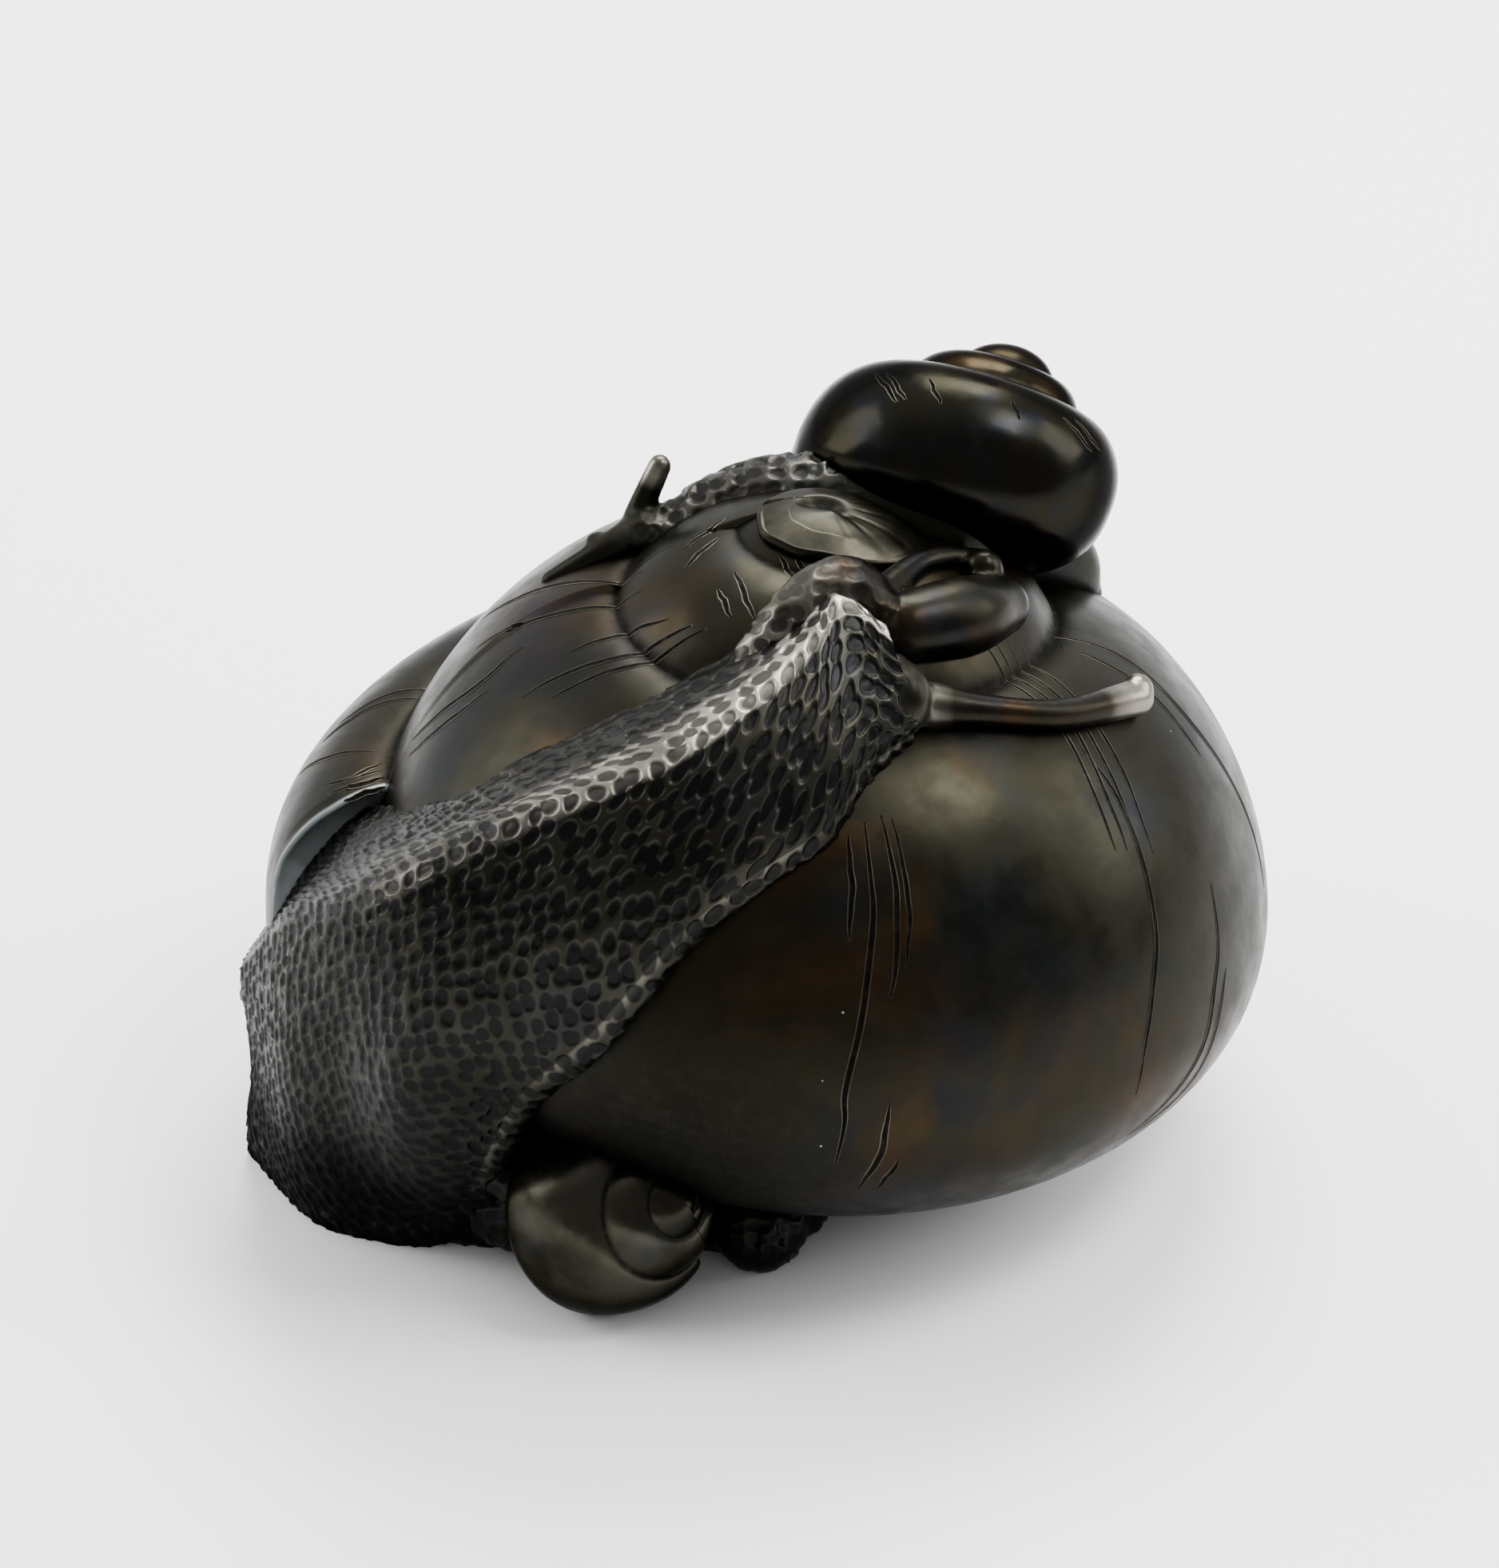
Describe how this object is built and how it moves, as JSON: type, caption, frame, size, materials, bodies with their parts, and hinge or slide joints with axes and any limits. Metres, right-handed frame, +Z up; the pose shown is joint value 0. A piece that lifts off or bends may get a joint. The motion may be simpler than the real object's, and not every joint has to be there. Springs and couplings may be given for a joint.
{
  "type": "bronze snail okimono",
  "caption": "Cast bronze desk ornament of a large land snail bending its dimpled foot over its own coiled shell, with smaller snails on its top and at its side.",
  "frame": {"origin": "on the ground under the middle of the large shell, on the flat that the group stands on", "axes": "+X to the viewer's right along the widest extent of the group, +Y to the back, +Z up from the ground to the apex of the large shell"},
  "size_m": [0.0845, 0.0782, 0.0639],
  "materials": {
    "bronze": "cast bronze with a dark brown to black patina, satin on the shells and rough on the dimpled skin"
  },
  "bodies": {
    "root": {"snail_group": "bronze"}
  },
  "joints": []
}
